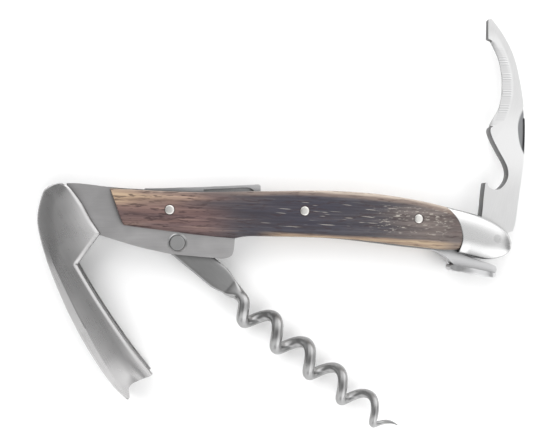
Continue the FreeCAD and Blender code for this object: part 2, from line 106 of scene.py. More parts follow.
def quarter(d, r, h):
    """Drop of a rounded edge: h at the edge, 0 from r inwards."""
    k = np.clip(1 - np.asarray(d, float) / r, 0, 1)
    return h * (1 - np.sqrt(np.maximum(1 - k * k, 0)))


def coons(bottom, top, left, right):
    """Grid [u, v] between four matching boundary rows."""
    nu, nv = len(bottom), len(left)
    u = np.linspace(0, 1, nu)[:, None, None]
    v = np.linspace(0, 1, nv)[None, :, None]
    u = np.asarray(coons.u)[:, None, None] if coons.u is not None else u
    v = np.asarray(coons.v)[None, :, None] if coons.v is not None else v
    b, t = bottom[:, None], top[:, None]
    l, r = left[None], right[None]
    c = (1 - u) * ((1 - v) * left[0] + v * left[-1]) + u * ((1 - v) * right[0] + v * right[-1])
    return (1 - v) * b + v * t + (1 - u) * l + u * r - c


coons.u = coons.v = None


def eased(n, amount=0.75):
    """0 to 1, closer together at both ends."""
    x = np.linspace(0, 1, n)
    e = 0.5 - 0.5 * np.cos(np.pi * x)
    return x * (1 - amount) + e * amount


# --- mesh helpers ----------------------------------------------------------

class Shell:
    """Vertices and faces of one piece, in millimetres."""

    def __init__(self):
        self.v, self.f, self.n = [], [], 0

    def add(self, pts):
        pts = np.asarray(pts, float).reshape(-1, 3)
        i = self.n
        self.v.append(pts)
        self.n += len(pts)
        return i

    def grid(self, g, flip=False, wrap=False):
        """Faces over a grid of points [a, b, 3]; the first index of every point."""
        na, nb = g.shape[:2]
        base = self.add(g)
        ids = base + np.arange(na * nb).reshape(na, nb)
        self.stitch(ids, flip, wrap)
        return ids

    def stitch(self, ids, flip=False, wrap=False):
        na, nb = ids.shape
        for i in range(na - 1):
            for j in range(nb - (0 if wrap else 1)):
                k = (j + 1) % nb
                q = (ids[i, j], ids[i + 1, j], ids[i + 1, k], ids[i, k])
                self.f.append(q[::-1] if flip else q)

    def strip(self, a, b, flip=False):
        self.stitch(np.stack([np.asarray(a), np.asarray(b)]), flip)

    def face(self, ids, flip=False):
        ids = [int(i) for i in ids]
        self.f.append(tuple(ids[::-1] if flip else ids))

    def mirrored(self):
        other = Shell()
        for p in self.v:
            q = p.copy()
            q[:, 2] = 2 * MID - q[:, 2]
            other.v.append(q)
        other.n = self.n
        other.f = [tuple(f)[::-1] for f in self.f]
        return other

    def merge(self, other):
        off = self.n
        self.v += other.v
        self.n += other.n
        self.f += [tuple(int(i) + off for i in f) for f in other.f]
        return self


def piece(name, shell, material, body, node, sharp=32.0, weld=1e-7):
    """A mesh object in metres that stands for a node of the frame."""
    import bmesh
    me = bpy.data.meshes.new(name)
    pts = np.concatenate(shell.v) * MM
    me.from_pydata(pts.tolist(), [], [tuple(int(i) for i in f) for f in shell.f])
    bm = bmesh.new()
    bm.from_mesh(me)
    bmesh.ops.remove_doubles(bm, verts=bm.verts, dist=weld)
    bmesh.ops.dissolve_degenerate(bm, dist=weld, edges=bm.edges)
    bmesh.ops.recalc_face_normals(bm, faces=bm.faces)
    bm.to_mesh(me)
    bm.free()
    me.validate()
    me.shade_smooth()
    me.set_sharp_from_angle(angle=math.radians(sharp))
    ob = bpy.data.objects.new(name, me)
    bpy.context.scene.collection.objects.link(ob)
    me.materials.append(material)
    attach(ob, body)
    if node:
        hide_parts(*([node] if isinstance(node, str) else node))
    return ob


# --- outlines (the same as the frame's) ------------------------------------

WOOD_LEFT = [(-40.91, -1.69), (-42.00, 0.62), (-42.94, 2.94), (-43.85, 5.20), (-44.56, 6.88)]
WOOD_TOP = [(-44.56, 6.88), (-32.74, 6.96), (-23.15, 7.25), (-15.89, 7.82), (-8.30, 8.38), (0.13, 9.01),
            (8.31, 9.52), (16.56, 9.64), (21.72, 9.50), (27.71, 9.02), (33.77, 8.32), (39.60, 7.30)]
WOOD_RIGHT = [(43.50, -3.30), (43.71, -0.78), (43.22, 1.80), (41.85, 4.62), (39.60, 7.30)]
WOOD_LOW_L = [(-40.91, -1.69), (-35.94, -2.13), (-30.26, -2.54), (-26.43, -2.88), (-20.33, -3.24), (-14.00, -3.50)]
WOOD_LOW_R = [(-14.00, -3.50), (-11.60, -2.90), (-8.34, -2.66), (-2.66, -2.46), (3.31, -2.26), (11.48, -2.16),
              (19.77, -2.38), (27.28, -2.86), (34.07, -3.25), (40.13, -3.52), (43.50, -3.30)]
TAIL_TOP = [(39.60, 7.30), (43.57, 6.62), (47.80, 5.72), (51.20, 4.58), (54.45, 3.02), (56.73, 1.09), (57.62, -0.91)]
TAIL_LOW = [(43.50, -4.10), (47.69, -4.99), (51.22, -5.42), (54.57, -4.75), (56.95, -3.05), (57.62, -0.91)]
RIVETS = [(-30.25, 2.56), (2.70, 4.16), (31.85, 3.85)]

# --- materials -------------------------------------------------------------


class Nodes:
    """Small wrapper that builds one material's node tree."""

    def __init__(self, name):
        self.m = bpy.data.materials.new(name)
        self.m.use_nodes = True
        self.t = self.m.node_tree
        self.t.nodes.clear()
        self.out = self.t.nodes.new("ShaderNodeOutputMaterial")
        self.b = self.t.nodes.new("ShaderNodeBsdfPrincipled")
        self.t.links.new(self.b.outputs["BSDF"], self.out.inputs["Surface"])
        self.co = self.t.nodes.new("ShaderNodeTexCoord").outputs["Object"]

    def link(self, a, b):
        self.t.links.new(a, b)

    def mapped(self, scale, turn=0.0, src=None, shift=(0, 0, 0)):
        """Coordinates turned about Z by turn degrees, then scaled."""
        r = self.t.nodes.new("ShaderNodeMapping")
        r.vector_type = "TEXTURE"
        r.inputs["Rotation"].default_value = (0, 0, math.radians(turn))
        self.link(src or self.co, r.inputs["Vector"])
        s = self.t.nodes.new("ShaderNodeMapping")
        s.inputs["Scale"].default_value = scale
        s.inputs["Location"].default_value = shift
        self.link(r.outputs["Vector"], s.inputs["Vector"])
        return s.outputs["Vector"]

    def noise(self, vec, scale=1.0, detail=3.0, rough=0.55, distort=0.0):
        n = self.t.nodes.new("ShaderNodeTexNoise")
        n.inputs["Scale"].default_value = scale
        n.inputs["Detail"].default_value = detail
        n.inputs["Roughness"].default_value = rough
        n.inputs["Distortion"].default_value = distort
        self.link(vec, n.inputs["Vector"])
        return n.outputs["Fac"]

    def ramp(self, fac, stops, mode="LINEAR"):
        r = self.t.nodes.new("ShaderNodeValToRGB")
        r.color_ramp.interpolation = mode
        e = r.color_ramp.elements
        while len(e) < len(stops):
            e.new(0.5)
        for el, (pos, col) in zip(e, stops):
            el.position = pos
            el.color = col if len(col) == 4 else (*col, 1.0)
        self.link(fac, r.inputs["Fac"])
        return r.outputs["Color"]

    def span(self, value, a, b, c=0.0, d=1.0, smooth=False):
        """value from a..b onto c..d, clamped."""
        n = self.t.nodes.new("ShaderNodeMapRange")
        n.interpolation_type = "SMOOTHSTEP" if smooth else "LINEAR"
        for k, x in zip(("From Min", "From Max", "To Min", "To Max"), (a, b, c, d)):
            n.inputs[k].default_value = x
        self.link(value, n.inputs["Value"])
        return n.outputs["Result"]

    def math(self, op, a, b=None, c=None):
        n = self.t.nodes.new("ShaderNodeMath")
        n.operation = op
        for i, x in enumerate((a, b, c)):
            if x is None:
                continue
            if isinstance(x, (int, float)):
                n.inputs[i].default_value = x
            else:
                self.link(x, n.inputs[i])
        return n.outputs["Value"]

    def mix(self, fac, a, b, mode="MIX"):
        n = self.t.nodes.new("ShaderNodeMix")
        n.data_type = "RGBA"
        n.blend_type = mode
        for sock, x in ((n.inputs[0], fac), (n.inputs[6], a), (n.inputs[7], b)):
            if isinstance(x, (int, float)):
                sock.default_value = x
            elif isinstance(x, tuple):
                sock.default_value = x if len(x) == 4 else (*x, 1.0)
            else:
                self.link(x, sock)
        return n.outputs[2]

    def hollow(self, distance, low=0.35):
        """Painted shade from ambient occlusion: 1 on open faces, down to low in creases and narrow gaps."""
        n = self.t.nodes.new("ShaderNodeAmbientOcclusion")
        n.samples = 6
        n.inputs["Distance"].default_value = distance
        return self.span(n.outputs["AO"], 0.30, 0.92, low, 1.0)

    def painted_wall_shade(self, low):
        """Painted shade: low on walls that stand upright, 1 on faces that look up or down."""
        g = self.t.nodes.new("ShaderNodeNewGeometry")
        s = self.t.nodes.new("ShaderNodeSeparateXYZ")
        self.link(g.outputs["Normal"], s.inputs[0])
        return self.span(self.math("ABSOLUTE", s.outputs[2]), 0.30, 0.80, low, 1.0)

    def xyz(self):
        s = self.t.nodes.new("ShaderNodeSeparateXYZ")
        self.link(self.co, s.inputs[0])
        return s.outputs

    def bump(self, height, strength, dist, under=None):
        n = self.t.nodes.new("ShaderNodeBump")
        n.inputs["Strength"].default_value = strength
        n.inputs["Distance"].default_value = dist
        self.link(height, n.inputs["Height"])
        if under is not None:
            self.link(under, n.inputs["Normal"])
        return n.outputs["Normal"]


def srgb(r, g, b):
    def f(x):
        x /= 255.0
        return x / 12.92 if x <= 0.04045 else ((x + 0.055) / 1.055) ** 2.4
    return (f(r), f(g), f(b))


def steel(name, tone, rough, turn=0.0, grain=1.0, cloud=1.0, scratch=0.5, tint=(1.0, 1.0, 1.0), fine=3200.0,
          length=140.0, extra=None, crease=0.40, edge=0.6):
    """Ground or brushed stainless steel: lengthwise grain, faint clouds and hairline scratches, with painted shade in
    creases (down to crease) and on upright walls (down to edge).
    """
    n = Nodes(name)
    b = n.b
    b.inputs["Metallic"].default_value = 1.0
    lay = n.noise(n.mapped((length, fine, fine), turn), 1.0, 4.0, 0.6)
    lay2 = n.noise(n.mapped((length * 2.4, fine * 2.2, fine * 2.2), turn + 1.5), 1.0, 3.0, 0.6)
    cl = n.noise(n.mapped((150, 150, 150), turn), 1.0, 3.0, 0.55, 0.4)
    sc = n.noise(n.mapped((70, 2600, 2600), turn + 38.0, shift=(3, 7, 1)), 1.0, 2.0, 0.5)
    sc = n.span(sc, 0.66, 0.74, 0.0, 1.0)
    g = n.math("SUBTRACT", lay, 0.5)
    g2 = n.math("SUBTRACT", lay2, 0.5)
    c = n.math("SUBTRACT", cl, 0.5)
    v = n.math("MULTIPLY_ADD", g, 0.22 * grain, 1.0)
    v = n.math("MULTIPLY_ADD", g2, 0.12 * grain, v)
    v = n.math("MULTIPLY_ADD", c, 0.22 * cloud, v)
    v = n.math("MULTIPLY_ADD", sc, 0.10 * scratch, v)
    # painted shade: darker in creases and narrow gaps, and on walls that stand upright
    v = n.math("MULTIPLY", v, n.hollow(0.0016, crease))
    v = n.math("MULTIPLY", v, n.painted_wall_shade(edge))
    col = n.t.nodes.new("ShaderNodeVectorMath")
    col.operation = "SCALE"
    col.inputs[0].default_value = tuple(tone * x for x in tint)
    n.link(v, col.inputs["Scale"])
    out = col.outputs["Vector"]
    r = n.math("MULTIPLY_ADD", g, 0.16 * grain, rough)
    r = n.math("MULTIPLY_ADD", c, 0.16 * cloud, r)
    r = n.math("MULTIPLY_ADD", sc, -0.06 * scratch, r)
    nrm = n.bump(lay, 0.10 * grain, 0.00004)
    nrm = n.bump(sc, 0.08 * scratch, 0.00003, nrm)
    if extra:
        out, r, nrm = extra(n, out, r, nrm)
    n.link(out, b.inputs["Base Color"])
    n.link(n.math("MAXIMUM", r, 0.06), b.inputs["Roughness"])
    n.link(nrm, b.inputs["Normal"])
    return n.m


def wood(name, side):
    """Old oak stave: tan end, blackened middle, brown end, pores and a sapwood strip."""
    n = Nodes(name)
    b = n.b
    x, y, z = n.xyz()
    xm = n.math("MULTIPLY", x, 1000.0)
    ym = n.math("MULTIPLY", y, 1000.0)
    shift = (0, 0, 0) if side == "front" else (5.3, 2.1, 4.4)
    warp = n.noise(n.mapped((45, 160, 160), 1.0, shift=shift), 1.0, 3.0, 0.55)
    warp2 = n.noise(n.mapped((28, 420, 420), 1.5, shift=shift), 1.0, 4.0, 0.6)
    xs = n.math("MULTIPLY_ADD", n.math("SUBTRACT", warp2, 0.5), 26.0, xm)
    t = n.span(xs, -46.0, 46.0)

    def p(xmm):
        return (xmm + 46.0) / 92.0
    tone = n.ramp(t, [
        (p(-43), srgb(174, 151, 126)), (p(-39), srgb(162, 139, 118)), (p(-35), srgb(150, 128, 113)),
        (p(-30), srgb(138, 115, 104)), (p(-25), srgb(108, 91, 88)), (p(-19), srgb(80, 72, 75)),
        (p(-14), srgb(68, 64, 70)), (p(-8), srgb(58, 56, 65)), (p(2), srgb(56, 55, 66)),
        (p(12), srgb(61, 60, 69)), (p(21), srgb(70, 68, 74)), (p(27), srgb(90, 84, 84)),
        (p(32), srgb(106, 98, 96)), (p(36), srgb(114, 105, 101)), (p(40), srgb(102, 94, 92)), (p(45), srgb(110, 99, 96))])
    # mauve brown heart, lower half of the tan end
    low = n.span(n.math("MULTIPLY_ADD", n.math("SUBTRACT", warp, 0.5), 3.0, ym), 5.0, 2.2, 0.0, 1.0, True)
    ends = n.span(xm, -12.0, -24.0, 0.0, 1.0, True)
    k = n.math("MULTIPLY", n.math("MULTIPLY", low, ends), 0.90)
    tone = n.mix(k, tone, n.mix(n.span(warp2, 0.40, 0.62), (*srgb(88, 70, 74), 1), (*srgb(116, 92, 88), 1)))
    # lengthwise grain
    gr = n.noise(n.mapped((38, 1500, 1500), 1.0, shift=shift), 1.0, 5.0, 0.62, 0.25)
    gd = n.span(gr, 0.34, 0.66, 0.0, 1.0)
    tone = n.mix(n.math("MULTIPLY", n.math("SUBTRACT", 1.0, gd), 0.50), tone, n.mix(1.0, tone, (*srgb(120, 96, 92), 1), "MULTIPLY"))
    lit = n.math("MULTIPLY", n.span(gr, 0.56, 0.74), n.span(xm, -8.0, -26.0, 0.06, 0.26, True))
    tone = n.mix(lit, tone, (*srgb(196, 170, 142), 1))
    # sapwood along the belly, and a paler strip along the back that is partly paler wood and partly a painted highlight
    yb = n.math("MULTIPLY_ADD", n.math("SUBTRACT", warp, 0.5), 1.6, ym)
    sap = n.math("MULTIPLY", n.span(yb, -1.15, -1.95, 0.0, 1.0, True), n.span(xm, -10.0, -1.0, 0.0, 1.0, True))
    sap = n.math("MULTIPLY", sap, n.span(xm, 42.5, 37.0, 0.25, 0.9, True))
    tone = n.mix(sap, tone, n.mix(gd, (*srgb(140, 116, 98), 1), (*srgb(184, 162, 134), 1)))
    # the back edge follows the handle's gentle hump
    hump = n.math("SUBTRACT", 9.62, n.math("MULTIPLY", n.math("POWER", n.math("ABSOLUTE", n.math("SUBTRACT", xm, 15.5)), 2.0), 0.00115))
    hump = n.math("MAXIMUM", hump, 6.98)
    hump2 = n.math("SUBTRACT", 9.62, n.math("MULTIPLY", n.math("POWER", n.math("ABSOLUTE", n.math("SUBTRACT", xm, 15.5)), 2.0), 0.0040))
    right = n.math("GREATER_THAN", xm, 15.5)
    hump = n.math("ADD", n.math("MULTIPLY", right, hump2), n.math("MULTIPLY", n.math("SUBTRACT", 1.0, right), hump))
    db = n.math("SUBTRACT", hump, yb)
    back = n.math("MULTIPLY", n.span(db, 1.9, 1.0, 0.0, 1.0, True), n.span(xm, -22.0, -8.0, 0.15, 0.66, True))
    tone = n.mix(back, tone, (*srgb(134, 117, 106), 1))
    # the pale line right at the top is partly paler wood and partly a painted highlight where the back rounds over
    back = n.math("MULTIPLY", n.span(db, 0.9, 0.2, 0.0, 1.0, True), n.span(xm, -14.0, 0.0, 0.2, 0.9, True))
    tone = n.mix(back, tone, (*srgb(192, 178, 164), 1))
    # open pores: short dark dashes, fewer in the blackened middle
    po = n.noise(n.mapped((300, 1800, 1800), 1.5, shift=shift), 1.0, 2.0, 0.55)
    pores = n.span(po, 0.56, 0.62)
    po2 = n.noise(n.mapped((210, 1900, 1900), 0.5, shift=(2, 9, 4)), 1.0, 2.0, 0.55)
    pores2 = n.span(po2, 0.575, 0.64)
    pores = n.math("MAXIMUM", pores, n.math("MULTIPLY", pores2, 0.8))
    pores = n.math("MULTIPLY", pores, n.span(n.noise(n.mapped((120, 420, 420), 2.0, shift=(6, 3, 3)), 1.0, 2.0, 0.5), 0.36, 0.56, 0.3, 1.0))
    tone = n.mix(n.math("MULTIPLY", pores, n.span(xm, -34.0, -6.0, 0.92, 0.45)), tone, (*srgb(54, 40, 40), 1))
    # pale flecks and scratches where the char has worn through
    fl = n.noise(n.mapped((170, 2700, 2700), -1.0, shift=(1, 5, 2)), 1.0, 1.0, 0.5)
    fl = n.math("MULTIPLY", n.span(fl, 0.665, 0.72), n.math("MULTIPLY", n.span(xm, -12.0, -2.0, 0.0, 0.75, True), n.span(xm, 30.0, 25.0, 0.0, 1.0, True)))
    fl2 = n.noise(n.mapped((620, 2500, 2500), 3.0, shift=(8, 1, 6)), 1.0, 3.0, 0.62)
    fl2 = n.math("MULTIPLY", n.span(fl2, 0.57, 0.66), n.math("MULTIPLY", n.span(xm, 17.0, 26.0, 0.0, 0.8, True), n.span(xm, 42.5, 38.0, 0.0, 1.0, True)))
    band = n.math("MULTIPLY", n.span(ym, 7.2, 6.0, 0.0, 1.0, True), n.span(ym, -0.8, 0.8, 0.0, 1.0, True))
    fk1 = n.math("MULTIPLY", n.math("MAXIMUM", fl, fl2), band)
    tone = n.mix(n.math("MULTIPLY", fk1, 0.75), tone, (*srgb(188, 182, 172), 1))
    # dark ring round every rivet
    for rx, ry in RIVETS:
        dx = n.math("SUBTRACT", xm, rx)
        dy = n.math("SUBTRACT", ym, ry)
        d = n.math("SQRT", n.math("ADD", n.math("MULTIPLY", dx, dx), n.math("MULTIPLY", dy, dy)))
        tone = n.mix(n.math("MULTIPLY", n.span(d, 1.42, 1.16, 0.0, 1.0, True), 0.85), tone, (*srgb(52, 42, 40), 1))
    # painted shade: darker where the wood meets steel, in the creases at the joints
    col = n.t.nodes.new("ShaderNodeVectorMath")
    col.operation = "SCALE"
    n.link(tone, col.inputs[0])
    n.link(n.hollow(0.0008, 0.55), col.inputs["Scale"])
    n.link(col.outputs["Vector"], b.inputs["Base Color"])
    r = n.math("MULTIPLY_ADD", n.math("SUBTRACT", gr, 0.5), 0.25, 0.46)
    r = n.math("MULTIPLY_ADD", pores, 0.25, r)
    n.link(r, b.inputs["Roughness"])
    h = n.math("SUBTRACT", n.math("MULTIPLY", gr, 0.5), pores)
    nrm = n.bump(h, 0.45, 0.00012)
    n.link(nrm, b.inputs["Normal"])
    b.inputs["Specular IOR Level"].default_value = 0.42
    b.inputs["Coat Weight"].default_value = 0.12
    b.inputs["Coat Roughness"].default_value = 0.30
    return n.m


def blade_teeth(n, out, r, nrm):
    """Fine file-cut teeth across the ground edge of the blade."""
    x, y, z = n.xyz()
    xm = n.math("MULTIPLY", x, 1000.0)
    ym = n.math("MULTIPLY", y, 1000.0)
    # brighter band across the belly on faces that look up or down; painted shade in the hollow of the nail nick
    hump = n.math("POWER", n.math("DIVIDE", n.math("SUBTRACT", ym, 24.5), 8.0), 2.0)
    hump = n.math("DIVIDE", 0.70, n.math("ADD", 1.0, n.math("MULTIPLY", hump, hump)))
    out = n.mix(n.math("MULTIPLY", hump, n.painted_wall_shade(0.0)), out, (0.98, 0.98, 0.98, 1))
    # painted shade: the hollow of the nail nick is drawn dark
    nx, ny = n.math("SUBTRACT", xm, 70.25), n.math("SUBTRACT", ym, 28.6)
    nr = n.math("SQRT", n.math("ADD", n.math("MULTIPLY", nx, nx), n.math("MULTIPLY", ny, ny)))
    out = n.mix(n.span(nr, 11.5, 11.2, 0.0, 0.92), out, (0.25, 0.255, 0.265, 1))
    d1 = n.math("SUBTRACT", ym, 38.8)
    cut = n.math("SUBTRACT", 54.4, n.math("MULTIPLY", n.math("MULTIPLY", d1, d1), 0.0262))
    off = n.math("SUBTRACT", xm, cut)
    zone = n.math("MULTIPLY", n.span(off, 0.05, 0.25, 0.0, 1.0), n.span(off, 2.35, 2.05, 0.0, 1.0))
    zone = n.math("MULTIPLY", zone, n.math("MULTIPLY", n.span(ym, 30.4, 31.0), n.span(ym, 49.6, 49.0)))
    wob = n.noise(n.mapped((90, 260, 90)), 1.0, 1.0, 0.5)
    ph = n.math("MULTIPLY_ADD", wob, 1.2, n.math("MULTIPLY", ym, 2 * math.pi / 0.62))
    w = n.math("MULTIPLY_ADD", n.math("SINE", ph), 0.5, 0.5)
    # deeper and shallower groups along the edge
    grp = n.math("MULTIPLY_ADD", n.math("SINE", n.math("MULTIPLY", ym, 2 * math.pi / 4.1)), 0.5, 0.5)
    grp = n.span(grp, 0.25, 0.8, 0.12, 1.0, True)
    h = n.math("MULTIPLY", n.math("MULTIPLY", w, zone), grp)
    g = n.t.nodes.new("ShaderNodeNewGeometry")
    gs = n.t.nodes.new("ShaderNodeSeparateXYZ")
    n.link(g.outputs["Normal"], gs.inputs[0])
    lift = n.math("MULTIPLY", n.math("SIGN", gs.outputs[2]), n.math("MULTIPLY", n.span(off, 2.9, 2.3, 0.0, 1.0), n.span(off, -0.6, -0.2, 0.0, 14.0)))
    lift = n.math("MULTIPLY", lift, n.span(n.math("ABSOLUTE", gs.outputs[2]), 0.5, 0.75, 0.0, 1.0))
    cz = n.t.nodes.new("ShaderNodeCombineXYZ")
    n.link(lift, cz.inputs[2])
    va = n.t.nodes.new("ShaderNodeVectorMath")
    n.link(nrm, va.inputs[0])
    n.link(cz.outputs[0], va.inputs[1])
    vn = n.t.nodes.new("ShaderNodeVectorMath")
    vn.operation = "NORMALIZE"
    n.link(va.outputs[0], vn.inputs[0])
    nrm = vn.outputs[0]
    # the ground bevel gets an even bright tone over the painted wall and crease shade, and this also paints in part of
    # its highlight
    flat = n.math("MULTIPLY", n.math("MULTIPLY", n.span(off, 2.9, 2.3, 0.0, 1.0), n.span(off, -0.6, -0.2, 0.0, 1.0)),
                  n.span(n.math("ABSOLUTE", gs.outputs[2]), 0.40, 0.55, 0.0, 0.9))
    flat = n.math("MULTIPLY", flat, n.math("MULTIPLY", n.span(ym, 20.0, 24.0), n.span(ym, 54.0, 51.5)))
    out = n.mix(flat, out, (0.88, 0.88, 0.88, 1))
    # painted shade in the troughs between the teeth
    out = n.mix(n.math("MULTIPLY", n.math("MULTIPLY", n.math("SUBTRACT", 1.0, w), zone), n.math("MULTIPLY", grp, 0.42)), out,
                (0.42, 0.42, 0.43, 1))
    out = n.mix(n.math("MULTIPLY", zone, 0.15), out, (0.55, 0.55, 0.56, 1))
    nrm = n.bump(h, 0.5, 0.00008, nrm)
    return out, r, nrm


M = {}
M["lever"] = steel("lever_satin_steel", 0.60, 0.28, edge=0.28, turn=-58, grain=0.40, cloud=0.5, scratch=0.3, fine=2600, length=90,
                   tint=(1.0, 0.99, 0.99))
M["matte"] = steel("matte_head_steel", 0.56, 0.42, turn=4, grain=0.8, cloud=1.0, scratch=0.5, tint=(1.0, 0.985, 0.99))
M["ring"] = steel("turned_ring_steel", 0.66, 0.30, turn=20, grain=0.6, cloud=0.5, scratch=0.3)
M["polish"] = steel("polished_bolster_steel", 0.60, 0.27, edge=0.45, turn=-8, grain=0.15, cloud=0.3, scratch=0.25, tint=(1.0, 1.0, 1.0))
M["blade"] = steel("satin_blade_steel", 0.74, 0.36, edge=0.18, turn=78, grain=0.6, cloud=0.7, scratch=0.4, extra=blade_teeth)
M["worm"] = steel("worm_wire_steel", 0.42, 0.33, edge=0.7, turn=-36, grain=0.7, cloud=0.8, scratch=0.5, fine=2400, length=300)
M["spring"] = steel("spring_strip_steel", 0.74, 0.36, turn=3, grain=1.2, cloud=1.6, scratch=0.9, tint=(0.99, 0.99, 1.0))
M["liner"] = steel("liner_edge_steel", 0.46, 0.40, turn=2, grain=1.0, cloud=1.0, scratch=0.5, tint=(0.98, 0.99, 1.0))
M["rivet"] = steel("rivet_head_steel", 0.90, 0.34, turn=45, grain=0.5, cloud=1.2, scratch=0.8, tint=(1.0, 0.98, 0.94))
M["pin"] = steel("hinge_pin_steel", 0.50, 0.36, turn=60, grain=0.6, cloud=1.0, scratch=0.8)
M["spot"] = steel("pivot_head_steel", 0.52, 0.30, turn=30, grain=0.3, cloud=0.5, scratch=0.4, crease=0.95, edge=0.8)
M["wood_front"] = wood("stave_oak_front", "front")
M["wood_rear"] = wood("stave_oak_rear", "rear")


# --- CAD nodes that keep their shape ---------------------------------------

def dress(node, material, bevel=0.12, segments=2, angle=30.0):
    """Material, and softly broken edges, on a node of the frame."""
    ob = NODES[node]
    if ob.material_slots:
        for s in ob.material_slots:
            s.material = material
    else:
        ob.data.materials.append(material)
    if bevel:
        w = ob.modifiers.new("weld", "WELD")
        w.merge_threshold = 2e-7
        m = ob.modifiers.new("broken_edges", "BEVEL")
        m.width = bevel * MM
        m.segments = segments
        m.limit_method = "ANGLE"
        m.angle_limit = math.radians(angle)
        m.use_clamp_overlap = True
        m.harden_normals = True
    return ob


for node, mat_key, bev in (
        ("front_liner", "liner", 0.10), ("rear_liner", "liner", 0.10),
        ("front_head_plate", "matte", 0.07), ("rear_head_plate", "matte", 0.07),
        ("worm_pin_rings", "ring", 0.0), ("head_plate_pins", "pin", 0.0), ("tail_bolster_pins", "pin", 0.0),
        ("head_spacer", "spring", 0.10), ("worm_spring", "spring", 0.14), ("blade_spring", "spring", 0.14),
        ("spring_end_plate", "spring", 0.14), ("lever_hinge_pin", "pin", 0.0), ("worm_hinge_pin", "pin", 0.0),
        ("foil_cutter", "blade", 0.12)):
    dress(node, M[mat_key], bev)

# --- wooden scales -----------------------------------------------------------
# rounding of the long edges grows from the head to the tail


def edge_round(x):
    k = step(-46, 44, x)
    return 2.3 + 2.0 * k, 1.25 + 0.75 * k


def scale_shell():
    nu, nv = 190, 60
    u = np.concatenate([[0, 0.0008, 0.002, 0.004], np.linspace(0.008, 0.992, nu - 8), [0.996, 0.998, 0.9992, 1.0]])
    v = eased(nv, 0.85)
    low = at(join(spline(WOOD_LOW_L, 60), spline(WOOD_LOW_R, 120)), u)
    top = at(spline(WOOD_TOP, 160), u)
    left = at(spline(WOOD_LEFT, 60), v)
    right = at(spline(WOOD_RIGHT, 60), v)
    coons.u, coons.v = u, v
    g = coons(low, top, left, right)
    coons.u = coons.v = None
    low_line = join(spline(WOOD_LOW_L, 60), spline(WOOD_LOW_R, 120))
    top_line = spline(WOOD_TOP, 160)
    dl, dt = distance(g, low_line), distance(g, top_line)
    r, h = edge_round(g[..., 0])
    w = dl + dt
    crown = 0.30 * ((dt - dl) / w) ** 2
    z = 11.90 - np.minimum(quarter(dl, r, h) + quarter(dt, r, h) + crown, 2.6)
    z -= quarter(distance(g, spline(WOOD_LEFT, 60)), 0.35, 0.22)
    z -= quarter(distance(g, spline(WOOD_RIGHT, 60)), 0.14, 0.07)
    # hand-dressed unevenness along the grain
    z -= 0.012 * (1 + np.sin(g[..., 0] * 0.55 + 1.3 * np.sin(g[..., 1] * 0.8)))
    s = Shell()
    ids = s.grid(np.dstack([g, z[..., None]]))
    loop = list(ids[:, 0]) + list(ids[-1, 1:]) + list(ids[-2::-1, -1]) + list(ids[0, -2:0:-1])
    pts = np.concatenate(s.v)[loop]
    rows = [loop]
    for k in (0.5, 1.0):
        q = pts.copy()
        q[:, 2] = pts[:, 2] * (1 - k) + 8.75 * k
        b = s.add(q)
        rows.append([b + i for i in range(len(loop))])
    for a, b in zip(rows, rows[1:]):
        a2, b2 = a + [a[0]], b + [b[0]]
        s.strip(a2, b2)
    s.face(rows[-1])
    return s


sc = scale_shell()
piece("front_scale_wood", sc, M["wood_front"], "handle", "front_scale")
piece("rear_scale_wood", sc.mirrored(), M["wood_rear"], "handle", "rear_scale")


# --- tail bolsters -------------------------------------------------------------

def bolster_shell():
    nu, nv = 90, 61
    u = np.linspace(0, 1, nu) ** 0.92
    u = 1 - (1 - u) ** 1.35
    v = eased(nv, 0.85)
    top_line = spline(TAIL_TOP, 140)
    low_line = join(np.array([(43.50, -3.30), (43.50, -4.10)]), spline(TAIL_LOW, 140))
    low = at(low_line, u)
    top = at(top_line, u)
    left = at(spline(WOOD_RIGHT, 60), v)
    right = np.repeat(np.array([TAIL_TOP[-1]], float), nv, axis=0)
    coons.u, coons.v = u, v
    g = coons(low, top, left, right)
    coons.u = coons.v = None
    edge_line = join(top_line, low_line[::-1][:-1])
    dt, dl = distance(g, top_line), distance(g, low_line[1:])
    d = distance(g, edge_line)
    k = step(43.0, 50.0, g[..., 0])
    r, h = edge_round(g[..., 0])
    r = r + 0.5 * k
    h = h + 0.25 * k
    w = np.maximum(dl + dt, 1e-3)
    crown = 0.30 * ((dt - dl) / w) ** 2
    belly = step(0.0, 1.5, dt - dl) * step(43.3, 46.0, g[..., 0])
    h = h - 0.6 * belly
    both = quarter(dt, r, h) + quarter(dl, r, h)
    one = quarter(d, r, h)
    drop = both * (1 - k) + one * k + crown * (1 - 0.5 * k) * np.clip(d, 0, 1) ** 0.5
    drop = drop + 0.050 * np.clip(4.3 - dl, 0, None) ** 2 * step(43.3, 46.0, g[..., 0]) * step(57.0, 50.0, g[..., 0])
    z = 11.90 - np.minimum(drop, 2.7)
    z -= quarter(distance(g, spline(WOOD_RIGHT, 60)), 0.14, 0.07)
    s = Shell()
    ids = s.grid(np.dstack([g, z[..., None]]))
    loop = list(ids[:, 0]) + list(ids[-1, 1:]) + list(ids[-2::-1, -1]) + list(ids[0, -2:0:-1])
    pts = np.concatenate(s.v)[loop]
    rows = [loop]
    for f in (0.5, 1.0):
        q = pts.copy()
        q[:, 2] = pts[:, 2] * (1 - f) + 8.75 * f
        b = s.add(q)
        rows.append([b + i for i in range(len(loop))])
    for a, b in zip(rows, rows[1:]):
        s.strip(a + [a[0]], b + [b[0]])
    s.face(rows[-1])
    return s


bo = bolster_shell()
piece("front_tail_bolster_dome", bo, M["polish"], "handle", "front_tail_bolster", sharp=45)
piece("rear_tail_bolster_dome", bo.mirrored(), M["polish"], "handle", "rear_tail_bolster", sharp=45)


# --- turned pieces: rivets and the pivot of the blade -----------------------------

